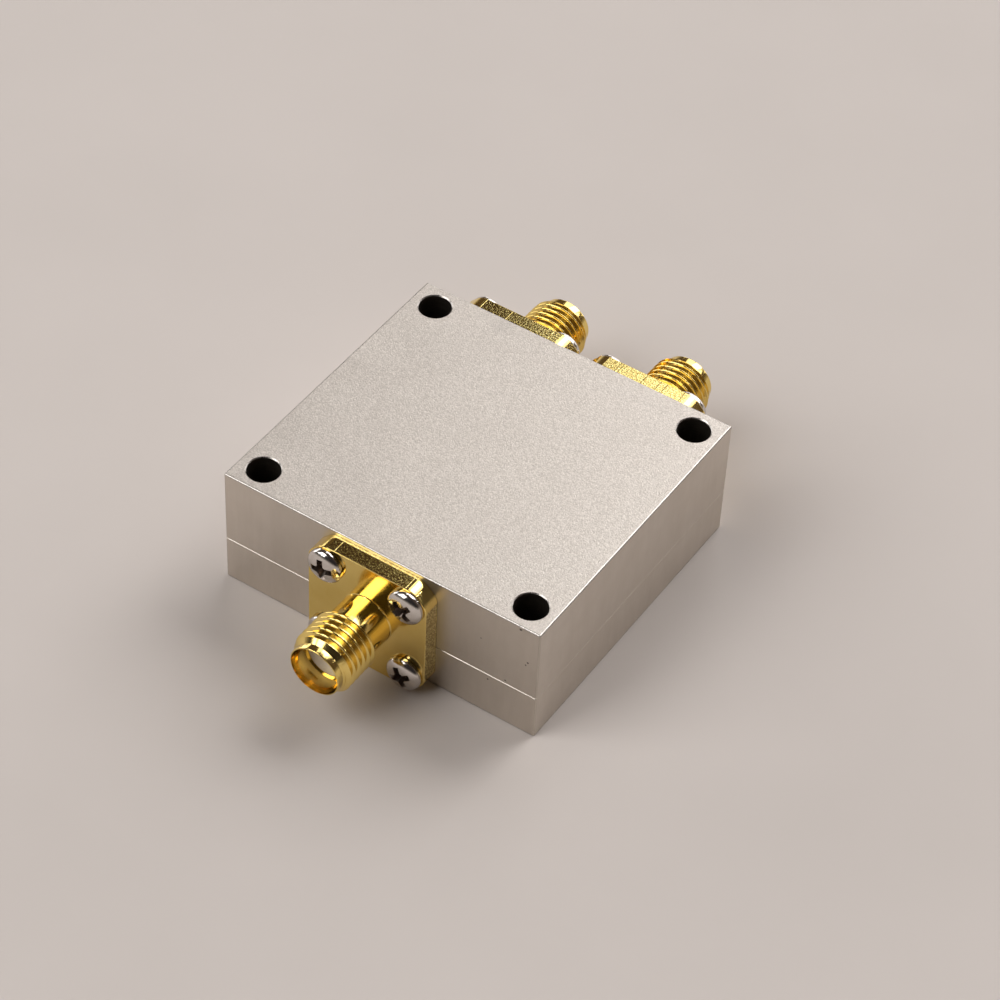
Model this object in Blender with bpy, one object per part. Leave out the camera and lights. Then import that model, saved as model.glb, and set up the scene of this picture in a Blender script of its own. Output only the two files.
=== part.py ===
"""Two-way coaxial power splitter.

A split aluminium housing carries one flanged screw-thread socket on its front wall and two
on its rear wall. Inside, a divider board joins the three centre contacts.

Lengths are in metres and +Z is up. The origin is the centre of the housing's underside.
The input socket faces -Y and the two output sockets face +Y.
"""
import math

import bmesh
import bpy

MM = 0.001

# Fits and edges
SEAT_GAP = 0.03 * MM
FIT_GAP = 0.03 * MM
CUT_OVERRUN = 1.0 * MM
WELD_DISTANCE = 0.0005 * MM

# Housing
HOUSING_WIDTH = 34.0 * MM
HOUSING_DEPTH = 32.2 * MM
HOUSING_HEIGHT = 13.2 * MM
END_WALL = 4.6 * MM
HOLE_WALL = 1.0 * MM
CAVITY_HEIGHT = 4.2 * MM
CAVITY_CORNER_RADIUS = 2.0 * MM
EDGE_BREAK = 0.15 * MM
SEAM_BREAK = 0.06 * MM
MOUNTING_HOLE_RADIUS = 1.6 * MM
MOUNTING_HOLE_INSET_X = 2.6 * MM
MOUNTING_HOLE_INSET_Y = 2.5 * MM
MOUNTING_HOLE_BREAK = 0.1 * MM

# Flanged socket, measured from the back of its flange
FLANGE_SIDE = 12.7 * MM
FLANGE_THICKNESS = 1.75 * MM
FLANGE_CORNER = 1.44 * MM
FLANGE_EDGE_BREAK = 0.08 * MM
FLANGE_FOOT_HEIGHT = 0.05 * MM
FLANGE_SPACING = 1.3 * MM
FLANGE_HOLE_RADIUS = 1.15 * MM
NECK_LENGTH = 2.8 * MM
NECK_WALL = 0.57 * MM
THREAD_LENGTH = 3.82 * MM
THREAD_RISE = 0.555 * MM
THREAD_RUNOUT = 0.25 * MM
THREAD_LEAD = 0.56 * MM
NOSE_LENGTH = 0.7 * MM
NOSE_WALL = 0.32 * MM
RIM_CHAMFER_LENGTH = 0.1 * MM
RIM_CHAMFER_RISE = 0.06 * MM
MOUTH_CHAMFER = 0.2 * MM
SOCKET_DEPTH = 1.95 * MM
SOCKET_SHOULDER = 0.25 * MM
INSULATOR_RADIUS = 2.05 * MM

# Centre contact
CONTACT_RADIUS = 0.635 * MM
CONTACT_WALL = 0.175 * MM
CONTACT_BORE_DEPTH = 2.9 * MM
CONTACT_SLOT_WIDTH = 0.2 * MM
CONTACT_SLOT_DEPTH = 2.2 * MM
CONTACT_RECESS = 0.1 * MM
CONTACT_COLLAR = 0.2 * MM
TAIL_RADIUS = 0.5 * MM
TAIL_LENGTH = 1.6 * MM

# Flange screw
SCREW_EDGE_DISTANCE = 2.03 * MM
SCREW_RADIUS = 1.0 * MM
SCREW_LENGTH = 5.0 * MM
SCREW_TIP = 0.25 * MM
SCREW_HOLE_RUNOUT = 0.5 * MM
HEAD_RADIUS = 1.8 * MM
HEAD_RIM_HEIGHT = 0.3 * MM
HEAD_DOME_HEIGHT = 0.75 * MM
RECESS_SPAN = 2.2 * MM
RECESS_WIDTH = 0.6 * MM
RECESS_DEPTH = 0.8 * MM
RECESS_TAPER_SHARE = 0.45

# Divider board
BOARD_THICKNESS = 0.762 * MM
BOARD_CLEARANCE = 0.2 * MM
TRACE_THICKNESS = 0.05 * MM
TRACE_SETBACK = 0.1 * MM
LINE_WIDTH = 1.7 * MM
ARM_WIDTH = 0.7 * MM
FEED_LENGTH = 3.0 * MM
OUTPUT_RUN = 2.6 * MM
SECTION_COUNT = 3
SECTION_LENGTH_SHARE = 0.215
SECTION_BULGE_SHARE = 0.3
RESISTOR_LENGTH = 1.6 * MM
RESISTOR_WIDTH = 0.8 * MM
RESISTOR_HEIGHT = 0.45 * MM
RESISTOR_LAP = 0.3 * MM
RESISTOR_CAP = 0.3 * MM
RESISTOR_CAP_STEP = 0.03 * MM

# Facets
BARREL_SEGMENTS = 36
HOLE_SEGMENTS = 24
SCREW_SEGMENTS = 20
CONTACT_SEGMENTS = 16
DOME_STEPS = 3
FILLET_SEGMENTS = 4
SECTION_STEPS = 8
SWEEP_STEPS = 10
SMOOTH_ANGLE = math.radians(35)

# Heights and places that follow from the sizes above
AXIS_HEIGHT = FLANGE_SIDE / 2 + FLANGE_FOOT_HEIGHT
TRACE_TOP = AXIS_HEIGHT - TAIL_RADIUS - SEAT_GAP
TRACE_BOTTOM = TRACE_TOP - TRACE_THICKNESS
BOARD_TOP = TRACE_BOTTOM - SEAT_GAP
BOARD_BOTTOM = BOARD_TOP - BOARD_THICKNESS
BASE_TOP = BOARD_BOTTOM - SEAT_GAP
LID_BOTTOM = BASE_TOP + SEAT_GAP
SIDE_WALL = MOUNTING_HOLE_INSET_X + MOUNTING_HOLE_RADIUS + HOLE_WALL
CAVITY_HALF_WIDTH = HOUSING_WIDTH / 2 - SIDE_WALL
CAVITY_HALF_DEPTH = HOUSING_DEPTH / 2 - END_WALL
OUTPUT_OFFSET = (FLANGE_SIDE + FLANGE_SPACING) / 2
SCREW_OFFSET = FLANGE_SIDE / 2 - SCREW_EDGE_DISTANCE
WALL_BORE_RADIUS = INSULATOR_RADIUS + FIT_GAP
SOCKET_RADIUS = INSULATOR_RADIUS + SOCKET_SHOULDER
NOSE_RADIUS = SOCKET_RADIUS + NOSE_WALL
THREAD_RADIUS = NOSE_RADIUS + THREAD_RISE
NECK_RADIUS = INSULATOR_RADIUS + NECK_WALL
RIM_HEIGHT = FLANGE_THICKNESS + NECK_LENGTH + THREAD_LENGTH + THREAD_LEAD + NOSE_LENGTH
REFERENCE_PLANE = RIM_HEIGHT - SOCKET_DEPTH
INNER_WALL = -END_WALL - SEAT_GAP

# Each port: its name, the side of the housing that it faces, and its place along X
PORTS = (
    ("input", -1, 0.0),
    ("output_left", 1, -OUTPUT_OFFSET),
    ("output_right", 1, OUTPUT_OFFSET),
)
CORNERS = ((-1, -1), (1, -1), (1, 1), (-1, 1))


def clear_scene():
    for obj in list(bpy.data.objects):
        bpy.data.objects.remove(obj)


def material(name, colour, roughness, metallic):
    """A plain Principled finish."""
    finish = bpy.data.materials.new(name)
    finish.use_nodes = True
    shader = finish.node_tree.nodes["Principled BSDF"]
    shader.inputs["Base Color"].default_value = (*colour, 1.0)
    shader.inputs["Roughness"].default_value = roughness
    shader.inputs["Metallic"].default_value = metallic
    return finish


def new_object(name, bm):
    """Turns a bmesh into an object in the scene."""
    bmesh.ops.recalc_face_normals(bm, faces=bm.faces)
    mesh = bpy.data.meshes.new(name)
    bm.to_mesh(mesh)
    bm.free()
    obj = bpy.data.objects.new(name, mesh)
    bpy.context.collection.objects.link(obj)
    return obj


def box(name, x_range, y_range, z_range):
    """A block between two corners."""
    bm = bmesh.new()
    bmesh.ops.create_cube(bm, size=1.0)
    ranges = (x_range, y_range, z_range)
    for vert in bm.verts:
        for axis, (low, high) in enumerate(ranges):
            vert.co[axis] = high if vert.co[axis] > 0 else low
    return new_object(name, bm)


def turned(name, profile, segments, places=((0.0, 0.0),)):
    """Turns a profile of (radius, height) points about Z, once at each place in X and Y."""
    bm = bmesh.new()
    closed = profile[0][0] > 0
    for x, y in places:
        points = [bm.verts.new((x + radius, y, height)) for radius, height in profile]
        pairs = list(zip(points, points[1:]))
        if closed:
            pairs.append((points[-1], points[0]))
        edges = [bm.edges.new(pair) for pair in pairs]
        bmesh.ops.spin(bm, geom=points + edges, cent=(x, y, 0.0), axis=(0.0, 0.0, 1.0),
                       angle=math.tau, steps=segments, use_merge=False)
    bmesh.ops.remove_doubles(bm, verts=bm.verts, dist=WELD_DISTANCE)
    return new_object(name, bm)


def prism(name, outline, low, high):
    """Extrudes a flat outline of (x, y) points between two heights."""
    bm = bmesh.new()
    face = bm.faces.new([bm.verts.new((x, y, low)) for x, y in outline])
    raised = bmesh.ops.extrude_face_region(bm, geom=[face])["geom"]
    for vert in raised:
        if isinstance(vert, bmesh.types.BMVert):
            vert.co.z = high
    return new_object(name, bm)


def bevel_edges(obj, offset, segments, wanted):
    """Bevels the edges whose ends both satisfy the wanted test."""
    bm = bmesh.new()
    bm.from_mesh(obj.data)
    edges = [edge for edge in bm.edges if wanted(*(vert.co for vert in edge.verts))]
    bmesh.ops.bevel(bm, geom=edges, offset=offset, segments=segments, profile=0.5,
                    affect="EDGES")
    bm.to_mesh(obj.data)
    bm.free()


def boolean(obj, tool, operation="DIFFERENCE"):
    """Cuts the tool from the object, or joins it on."""
    tool.hide_render = True
    tool.display_type = "WIRE"
    modifier = obj.modifiers.new(tool.name, "BOOLEAN")
    modifier.operation = operation
    modifier.solver = "EXACT"
    modifier.object = tool


def bake(obj):
    """Replaces an object's mesh with what its modifiers make of it."""
    depsgraph = bpy.context.evaluated_depsgraph_get()
    mesh = bpy.data.meshes.new_from_object(obj.evaluated_get(depsgraph))
    mesh.name = obj.name
    obj.modifiers.clear()
    obj.data = mesh


def dress(obj, finish):
    """Gives a finished piece its material and its smooth round faces."""
    obj.data.materials.clear()
    obj.data.materials.append(finish)
    obj.data.shade_smooth()
    obj.data.set_sharp_from_angle(angle=SMOOTH_ANGLE)


def remove(*objects):
    for obj in objects:
        bpy.data.objects.remove(obj)


def mounting_hole_places():
    x = HOUSING_WIDTH / 2 - MOUNTING_HOLE_INSET_X
    y = HOUSING_DEPTH / 2 - MOUNTING_HOLE_INSET_Y
    return [(x * side_x, y * side_y) for side_x, side_y in CORNERS]


def mounting_hole_tool(low, high, broken_at_top):
    """Four corner holes with a small chamfer where they leave the housing."""
    wide = MOUNTING_HOLE_RADIUS + MOUNTING_HOLE_BREAK
    if broken_at_top:
        profile = [(0.0, high + CUT_OVERRUN), (wide, high + CUT_OVERRUN), (wide, high),
                   (MOUNTING_HOLE_RADIUS, high - MOUNTING_HOLE_BREAK),
                   (MOUNTING_HOLE_RADIUS, low - CUT_OVERRUN), (0.0, low - CUT_OVERRUN)]
    else:
        profile = [(0.0, high + CUT_OVERRUN), (MOUNTING_HOLE_RADIUS, high + CUT_OVERRUN),
                   (MOUNTING_HOLE_RADIUS, low + MOUNTING_HOLE_BREAK), (wide, low),
                   (wide, low - CUT_OVERRUN), (0.0, low - CUT_OVERRUN)]
    return turned("mounting_holes", profile, HOLE_SEGMENTS, mounting_hole_places())


def aim(obj, side, x, height):
    """Turns a tool or a port so that its own +Z leaves the housing on the given side."""
    obj.location = (x, side * (HOUSING_DEPTH / 2 + SEAT_GAP), height)
    obj.rotation_euler = (-side * math.pi / 2, 0.0, 0.0)


def wall_tools(screw_side):
    """Contact bores through both end walls, and the tapped holes above or below them."""
    bore = [(0.0, CUT_OVERRUN), (WALL_BORE_RADIUS, CUT_OVERRUN),
            (WALL_BORE_RADIUS, INNER_WALL - CUT_OVERRUN), (0.0, INNER_WALL - CUT_OVERRUN)]
    tapped_radius = SCREW_RADIUS + FIT_GAP
    tapped_end = FLANGE_THICKNESS - SCREW_LENGTH - SCREW_HOLE_RUNOUT
    tapped = [(0.0, CUT_OVERRUN), (tapped_radius, CUT_OVERRUN), (tapped_radius, tapped_end),
              (0.0, tapped_end - tapped_radius / 2)]
    tools = []
    for port, side, x in PORTS:
        bore_tool = turned(port + "_bore", bore, BARREL_SEGMENTS)
        aim(bore_tool, side, x, AXIS_HEIGHT)
        places = [(-SCREW_OFFSET, 0.0), (SCREW_OFFSET, 0.0)]
        tapped_tool = turned(port + "_tapped", tapped, SCREW_SEGMENTS, places)
        aim(tapped_tool, side, x, AXIS_HEIGHT + screw_side * SCREW_OFFSET)
        tools += [bore_tool, tapped_tool]
    return tools


def near(a, b):
    return abs(a - b) < WELD_DISTANCE


def housing_half(name, low, high, seam, screw_side, finish, extra_tools=()):
    """One half of the housing, from low to high, with its seam at one of these heights."""
    half_x, half_y = HOUSING_WIDTH / 2, HOUSING_DEPTH / 2
    block = box(name, (-half_x, half_x), (-half_y, half_y), (low, high))
    bevel_edges(block, EDGE_BREAK, 1, lambda a, b: not (near(a.z, seam) and near(b.z, seam)))
    bevel_edges(block, SEAM_BREAK, 1, lambda a, b: near(a.z, seam) and near(b.z, seam))
    tools = [mounting_hole_tool(low, high, seam < high)]
    tools += wall_tools(screw_side)
    tools += extra_tools
    for tool in tools:
        boolean(block, tool)
    bake(block)
    remove(*tools)
    dress(block, finish)


def cavity_tool():
    """The pocket that is milled into the lid above the board."""
    tool = box("cavity", (-CAVITY_HALF_WIDTH, CAVITY_HALF_WIDTH),
               (-CAVITY_HALF_DEPTH, CAVITY_HALF_DEPTH),
               (LID_BOTTOM - CUT_OVERRUN, LID_BOTTOM + CAVITY_HEIGHT))
    bevel_edges(tool, CAVITY_CORNER_RADIUS, FILLET_SEGMENTS,
                lambda a, b: a.x == b.x and a.y == b.y)
    return tool


def lid(finish):
    housing_half("housing_lid", LID_BOTTOM, HOUSING_HEIGHT, LID_BOTTOM, 1, finish,
                 [cavity_tool()])


def base(finish):
    housing_half("base_plate", 0.0, BASE_TOP, BASE_TOP, -1, finish)


def flange_outline():
    """A square with cut corners."""
    full, cut = FLANGE_SIDE / 2, FLANGE_SIDE / 2 - FLANGE_CORNER
    return [(-cut, -full), (cut, -full), (full, -cut), (full, cut),
            (cut, full), (-cut, full), (-full, cut), (-full, -cut)]


def barrel_profile():
    """Outer form of the barrel, from the rim back into the flange."""
    rim = RIM_HEIGHT
    nose_start = rim - NOSE_LENGTH
    thread_end = nose_start - THREAD_LEAD
    thread_start = thread_end - THREAD_LENGTH
    return [(0.0, rim), (NOSE_RADIUS - RIM_CHAMFER_RISE, rim),
            (NOSE_RADIUS, rim - RIM_CHAMFER_LENGTH),
            (NOSE_RADIUS, nose_start), (THREAD_RADIUS, thread_end),
            (THREAD_RADIUS, thread_start + THREAD_RUNOUT), (NECK_RADIUS, thread_start),
            (NECK_RADIUS, FLANGE_THICKNESS / 2), (0.0, FLANGE_THICKNESS / 2)]


def shell_mesh():
    """Flange and threaded barrel, bored for the insulator and the mating plug."""
    shell = prism("shell", flange_outline(), 0.0, FLANGE_THICKNESS)
    bevel_edges(shell, FLANGE_EDGE_BREAK, 1, lambda a, b: a.z == b.z and a.z > 0)
    barrel = turned("barrel", barrel_profile(), BARREL_SEGMENTS)
    bore = turned("bore", [(0.0, RIM_HEIGHT + CUT_OVERRUN),
                           (SOCKET_RADIUS + MOUTH_CHAMFER, RIM_HEIGHT + CUT_OVERRUN),
                           (SOCKET_RADIUS + MOUTH_CHAMFER, RIM_HEIGHT),
                           (SOCKET_RADIUS, RIM_HEIGHT - MOUTH_CHAMFER),
                           (SOCKET_RADIUS, REFERENCE_PLANE),
                           (WALL_BORE_RADIUS, REFERENCE_PLANE),
                           (WALL_BORE_RADIUS, -CUT_OVERRUN), (0.0, -CUT_OVERRUN)],
                  BARREL_SEGMENTS)
    holes = turned("holes", [(0.0, FLANGE_THICKNESS + CUT_OVERRUN),
                             (FLANGE_HOLE_RADIUS, FLANGE_THICKNESS + CUT_OVERRUN),
                             (FLANGE_HOLE_RADIUS, -CUT_OVERRUN), (0.0, -CUT_OVERRUN)],
                   SCREW_SEGMENTS, screw_places())
    boolean(shell, barrel, "UNION")
    boolean(shell, bore)
    boolean(shell, holes)
    bake(shell)
    mesh = shell.data
    remove(shell, barrel, bore, holes)
    return mesh


def insulator_mesh():
    """Sleeve between the shell and the contact, through the flange and the end wall."""
    inner = CONTACT_RADIUS + FIT_GAP
    sleeve = turned("insulator", [(INSULATOR_RADIUS, REFERENCE_PLANE),
                                  (INSULATOR_RADIUS, INNER_WALL), (inner, INNER_WALL),
                                  (inner, REFERENCE_PLANE)], BARREL_SEGMENTS)
    mesh = sleeve.data
    remove(sleeve)
    return mesh


def contact_mesh():
    """Slotted socket at the front, and a thinner tail over the board's line."""
    front = REFERENCE_PLANE - CONTACT_RECESS
    bore = CONTACT_RADIUS - CONTACT_WALL
    collar_end = INNER_WALL - CONTACT_COLLAR
    tail_end = collar_end - TAIL_LENGTH
    pin = turned("contact", [(0.0, front - CONTACT_BORE_DEPTH - bore / 2),
                             (bore, front - CONTACT_BORE_DEPTH), (bore, front),
                             (CONTACT_RADIUS, front), (CONTACT_RADIUS, collar_end),
                             (TAIL_RADIUS, collar_end), (TAIL_RADIUS, tail_end),
                             (0.0, tail_end)], CONTACT_SEGMENTS)
    reach, half = CONTACT_RADIUS + CUT_OVERRUN, CONTACT_SLOT_WIDTH / 2
    depth = (front - CONTACT_SLOT_DEPTH, front + CUT_OVERRUN)
    slots = [box("slot_x", (-reach, reach), (-half, half), depth),
             box("slot_y", (-half, half), (-reach, reach), depth)]
    for slot in slots:
        boolean(pin, slot)
    bake(pin)
    mesh = pin.data
    remove(pin, *slots)
    return mesh


def screw_places():
    return [(SCREW_OFFSET * side_x, SCREW_OFFSET * side_y) for side_x, side_y in CORNERS]


def recess_tool(top):
    """A cross with walls that close towards its floor."""
    def cross(share, height):
        arm, half = RECESS_SPAN / 2 * share, RECESS_WIDTH / 2
        corners = [(arm, -half), (arm, half), (half, half)]
        points = []
        for turn in range(4):
            cos, sin = round(math.cos(turn * math.pi / 2)), round(math.sin(turn * math.pi / 2))
            points += [(x * cos - y * sin, x * sin + y * cos, height) for x, y in corners]
        return points

    bm = bmesh.new()
    floor = [bm.verts.new(point) for point in cross(RECESS_TAPER_SHARE, top - RECESS_DEPTH)]
    mouth = [bm.verts.new(point) for point in cross(1.0, top)]
    above = [bm.verts.new(point) for point in cross(1.0, top + CUT_OVERRUN)]
    bm.faces.new(floor)
    bm.faces.new(above)
    count = len(floor)
    for lower, upper in ((floor, mouth), (mouth, above)):
        for i in range(count):
            j = (i + 1) % count
            bm.faces.new((lower[i], lower[j], upper[j], upper[i]))
    return new_object("recess", bm)


def screw_mesh():
    """Pan head screw with its seat at zero height and a cross recess."""
    dome = []
    for step in range(DOME_STEPS + 1):
        angle = math.pi / 2 * step / DOME_STEPS
        dome.append((HEAD_RADIUS * math.sin(angle),
                     HEAD_RIM_HEIGHT + HEAD_DOME_HEIGHT * math.cos(angle)))
    body = turned("screw", dome + [(HEAD_RADIUS, 0.0), (SCREW_RADIUS, 0.0),
                                   (SCREW_RADIUS, SCREW_TIP - SCREW_LENGTH),
                                   (SCREW_RADIUS - SCREW_TIP, -SCREW_LENGTH),
                                   (0.0, -SCREW_LENGTH)], SCREW_SEGMENTS)
    recess = recess_tool(HEAD_RIM_HEIGHT + HEAD_DOME_HEIGHT)
    boolean(body, recess)
    bake(body)
    mesh = body.data
    remove(body, recess)
    return mesh


def place_on_port(name, mesh, port, finish, location=(0.0, 0.0, 0.0)):
    """Puts a piece with this mesh on a port's empty."""
    piece = bpy.data.objects.new(name, mesh)
    bpy.context.collection.objects.link(piece)
    piece.parent = port
    piece.location = location
    dress(piece, finish)


def ports(gold, white, nickel):
    """The three sockets, each with its insulator, contact and four screws."""
    shell, insulator, contact, screw = shell_mesh(), insulator_mesh(), contact_mesh(), screw_mesh()
    for name, side, x in PORTS:
        port = bpy.data.objects.new(name + "_port", None)
        bpy.context.collection.objects.link(port)
        aim(port, side, x, AXIS_HEIGHT)
        place_on_port(name + "_shell", shell, port, gold)
        place_on_port(name + "_insulator", insulator, port, white)
        place_on_port(name + "_contact", contact, port, gold)
        for number, (screw_x, screw_y) in enumerate(screw_places(), 1):
            seat = (screw_x, screw_y, FLANGE_THICKNESS + SEAT_GAP)
            place_on_port(f"{name}_screw_{number}", screw, port, nickel, seat)


def board(finish):
    """The divider board, with corners that follow the cavity."""
    half_x, half_y = CAVITY_HALF_WIDTH - BOARD_CLEARANCE, CAVITY_HALF_DEPTH - BOARD_CLEARANCE
    plate = box("circuit_board", (-half_x, half_x), (-half_y, half_y), (BOARD_BOTTOM, BOARD_TOP))
    bevel_edges(plate, CAVITY_CORNER_RADIUS, FILLET_SEGMENTS,
                lambda a, b: a.x == b.x and a.y == b.y)
    dress(plate, finish)


def ease(t):
    """Smooth step with no bend at its ends."""
    return t ** 3 * (t * (6 * t - 15) + 10)


class TraceLayout:
    """Places along the board's line, from the feed to the outputs."""
    front = -CAVITY_HALF_DEPTH + BOARD_CLEARANCE + TRACE_SETBACK
    back = -front
    fork = front + FEED_LENGTH
    run_start = back - OUTPUT_RUN
    section = (run_start - fork) * SECTION_LENGTH_SHARE
    sweep_start = fork + SECTION_COUNT * section
    near = RESISTOR_LENGTH / 2 - RESISTOR_LAP + ARM_WIDTH / 2


def arm_centre_line():
    """Points (x, y, width) along the +X arm."""
    layout = TraceLayout
    line = []
    for step in range(SECTION_COUNT * SECTION_STEPS):
        phase = step / SECTION_STEPS
        bulge = layout.section * SECTION_BULGE_SHARE * math.sin(math.pi * phase) ** 2
        line.append((layout.near + bulge, layout.fork + phase * layout.section, ARM_WIDTH))
    for step in range(SWEEP_STEPS + 1):
        share = step / SWEEP_STEPS
        x = layout.near + (OUTPUT_OFFSET - layout.near) * ease(share)
        y = layout.sweep_start + (layout.run_start - layout.sweep_start) * share
        line.append((x, y, ARM_WIDTH + (LINE_WIDTH - ARM_WIDTH) * ease(share)))
    line.append((OUTPUT_OFFSET, layout.back, LINE_WIDTH))
    return line


def arm_edges():
    """Outer and inner edge of the +X arm, each from the fork to the output."""
    line = arm_centre_line()
    outer, inner = [], []
    for index, (x, y, width) in enumerate(line):
        before, after = line[max(index - 1, 0)], line[min(index + 1, len(line) - 1)]
        along_x, along_y = after[0] - before[0], after[1] - before[1]
        if index in (0, len(line) - 1):
            along_x = 0.0
        length = math.hypot(along_x, along_y)
        side_x, side_y = along_y / length * width / 2, -along_x / length * width / 2
        outer.append((x + side_x, y + side_y))
        inner.append((x - side_x, y - side_y))
    return outer, inner


def trace(finish):
    """One conductor: the feed line and two arms that swell out between the resistors."""
    layout = TraceLayout
    outer, inner = arm_edges()
    right = [(LINE_WIDTH / 2, layout.front), (LINE_WIDTH / 2, layout.fork)]
    right += outer + inner[::-1]
    left = [(-x, y) for x, y in right[::-1]]
    strip = prism("microstrip_trace", right + left, TRACE_BOTTOM, TRACE_TOP)
    dress(strip, finish)


def resistor(number, finish):
    """A chip across the two arms, slightly thicker at its two end caps."""
    layout = TraceLayout
    y = layout.fork + number * layout.section
    low, high = TRACE_TOP + SEAT_GAP, TRACE_TOP + SEAT_GAP + RESISTOR_HEIGHT
    end, waist = RESISTOR_LENGTH / 2, RESISTOR_LENGTH / 2 - RESISTOR_CAP
    top = high - RESISTOR_CAP_STEP
    section = [(-end, low), (end, low), (end, high), (waist, high), (waist, top),
               (-waist, top), (-waist, high), (-end, high)]
    chip = prism(f"isolation_resistor_{number}", section, -RESISTOR_WIDTH / 2,
                 RESISTOR_WIDTH / 2)
    chip.rotation_euler = (math.pi / 2, 0.0, 0.0)
    chip.location = (0.0, y, 0.0)
    dress(chip, finish)


def build():
    clear_scene()
    aluminium = material("blasted_aluminium", (0.60, 0.56, 0.52), 0.45, 0.9)
    gold = material("gold_plating", (0.83, 0.60, 0.22), 0.15, 1.0)
    nickel = material("nickel_plating", (0.62, 0.60, 0.56), 0.18, 1.0)
    white = material("white_insulator", (0.85, 0.84, 0.80), 0.5, 0.0)
    laminate = material("board_laminate", (0.62, 0.60, 0.50), 0.6, 0.0)
    chip = material("resistor_chip", (0.05, 0.05, 0.05), 0.4, 0.0)
    lid(aluminium)
    base(aluminium)
    ports(gold, white, nickel)
    board(laminate)
    trace(gold)
    for number in range(1, SECTION_COUNT + 1):
        resistor(number, chip)


build()
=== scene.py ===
"""Looks for the two-way coaxial power splitter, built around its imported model.

Lengths are in metres and +Z is up. The input socket faces -Y and the two outputs face +Y.
Each piece is modelled where its solid is, so nothing is fitted afterwards.
"""
import math

import bmesh
import bpy
from mathutils import Matrix, Vector


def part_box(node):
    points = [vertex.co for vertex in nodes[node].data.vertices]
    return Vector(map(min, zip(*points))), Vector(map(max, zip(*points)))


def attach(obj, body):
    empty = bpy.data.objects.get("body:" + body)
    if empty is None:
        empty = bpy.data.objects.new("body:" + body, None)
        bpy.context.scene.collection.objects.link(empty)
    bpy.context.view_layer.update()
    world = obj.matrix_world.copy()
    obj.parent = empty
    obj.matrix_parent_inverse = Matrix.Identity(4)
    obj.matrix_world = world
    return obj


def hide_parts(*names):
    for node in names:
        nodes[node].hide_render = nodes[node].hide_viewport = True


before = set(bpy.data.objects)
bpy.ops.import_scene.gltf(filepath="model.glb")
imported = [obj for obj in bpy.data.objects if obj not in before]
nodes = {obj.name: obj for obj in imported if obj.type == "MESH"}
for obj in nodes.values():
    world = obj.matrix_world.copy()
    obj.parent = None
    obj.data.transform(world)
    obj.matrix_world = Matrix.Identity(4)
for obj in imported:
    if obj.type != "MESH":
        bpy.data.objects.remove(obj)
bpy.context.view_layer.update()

MM = 0.001
WELD = 0.0005 * MM
OVERRUN = 1.0 * MM
FIT_GAP = 0.03 * MM
SMOOTH_ANGLE = math.radians(38)
CRISP_ANGLE = math.radians(13)

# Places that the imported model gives
LID_LOW, LID_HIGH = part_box("housing_lid")
BASE_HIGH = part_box("base_plate")[1]
SHELL_LOW, SHELL_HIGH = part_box("input_shell")
SLEEVE_LOW, SLEEVE_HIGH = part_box("input_insulator")
CONTACT_LOW, CONTACT_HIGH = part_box("input_contact")
SCREW_LOW, SCREW_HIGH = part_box("input_screw_1")
AXIS_HEIGHT = (SHELL_LOW.z + SHELL_HIGH.z) / 2
FLANGE_BACK = SHELL_HIGH.y
RIM = SHELL_LOW.y
PORTS = ("input", "output_left", "output_right")

# Housing
EDGE_ROUND = 0.15 * MM
LID_SEAM_ROUND = 0.04 * MM
BASE_SEAM_ROUND = 0.14 * MM
ROUND_SEGMENTS = 3
HOLE_RADIUS = 1.6 * MM
HOLE_X = LID_HIGH.x - 2.6 * MM
HOLE_Y = LID_HIGH.y - 2.5 * MM
HOLE_BREAK = 0.1 * MM
HOLE_SIDES = 64
CAVITY_HALF_WIDTH = 11.8 * MM
CAVITY_HALF_DEPTH = 11.5 * MM
CAVITY_HEIGHT = 4.2 * MM
CAVITY_CORNER = 2.0 * MM
CAVITY_CORNER_SEGMENTS = 8
WALL_BORE_RADIUS = 2.08 * MM
TAPPED_RADIUS = 1.03 * MM
TAPPED_DEPTH = 3.75 * MM

# The screws of each port whose tapped holes are in the lid, and those in the base
LID_SCREWS = {"input": (3, 4), "output_left": (1, 2), "output_right": (1, 2)}
BASE_SCREWS = {"input": (1, 2), "output_left": (3, 4), "output_right": (3, 4)}

# Flanged socket
FLANGE_THICKNESS = 1.75 * MM
FLANGE_CORNER = 1.44 * MM
FLANGE_CORNER_BLEND = 0.56 * MM
FLANGE_BLEND_SEGMENTS = 6
FLANGE_BREAK = 0.07 * MM
FLANGE_HOLE_RADIUS = 1.15 * MM
NECK_RADIUS = 2.62 * MM
NECK_LENGTH = 2.8 * MM
NECK_FILLET = 0.1 * MM
NECK_FILLET_BELLY = 0.3
THREAD_RADIUS = 3.175 * MM
THREAD_LENGTH = 3.82 * MM
THREAD_RUNOUT = 0.25 * MM
THREAD_LEAD = 0.56 * MM
THREAD_PITCH = 25.4 / 36 * MM
THREAD_FLANK_ANGLE = math.radians(30)
THREAD_ROOT = 0.12 * MM
CREST_BREAK = 0.03 * MM
CREST_SLOPE = 0.05 * MM
CREST_RISE = 0.02 * MM
CREST_FLAT = 0.01 * MM
NOSE_RADIUS = 2.62 * MM
NOSE_ROUND = 0.08 * MM
NOSE_ROUND_STEPS = 4
SOCKET_RADIUS = 2.3 * MM
SOCKET_MOUTH = 0.2 * MM
SOCKET_MOUTH_DEPTH = 1.1 * MM
SLEEVE_BREAK = 0.06 * MM
BARREL_SIDES = 96

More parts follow.
